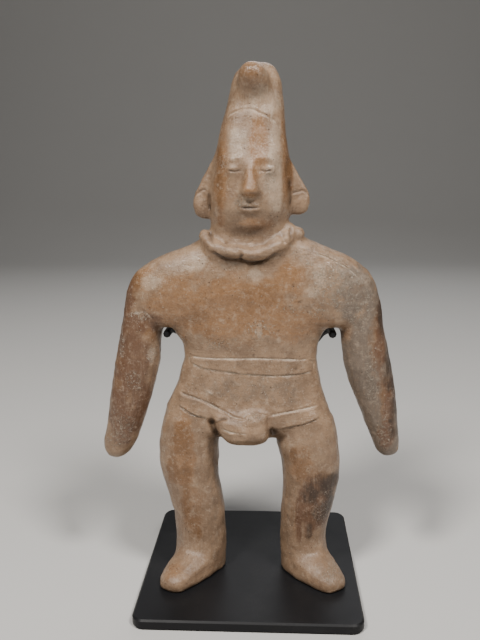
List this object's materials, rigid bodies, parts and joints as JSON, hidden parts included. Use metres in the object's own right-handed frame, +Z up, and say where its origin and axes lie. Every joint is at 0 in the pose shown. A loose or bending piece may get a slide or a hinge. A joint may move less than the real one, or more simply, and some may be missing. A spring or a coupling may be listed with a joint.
{
  "type": "shaman figurine",
  "caption": "Standing figurine of burnished fired clay with a tall horned crown, held upright on a flat plate by bent rods under its arms.",
  "frame": {"origin": "middle of the base plate's underside", "axes": "+Z up, the figure faces -Y, its arms reach along X"},
  "size_m": [0.1486, 0.108, 0.255],
  "materials": {
    "fired_clay": "burnished buff clay with worn slip, pale deposits and black staining",
    "black_paint": "satin black"
  },
  "bodies": {
    "root": {"figurine": "fired_clay", "base_plate": "black_paint", "left_rod": "black_paint", "right_rod": "black_paint"}
  },
  "joints": []
}
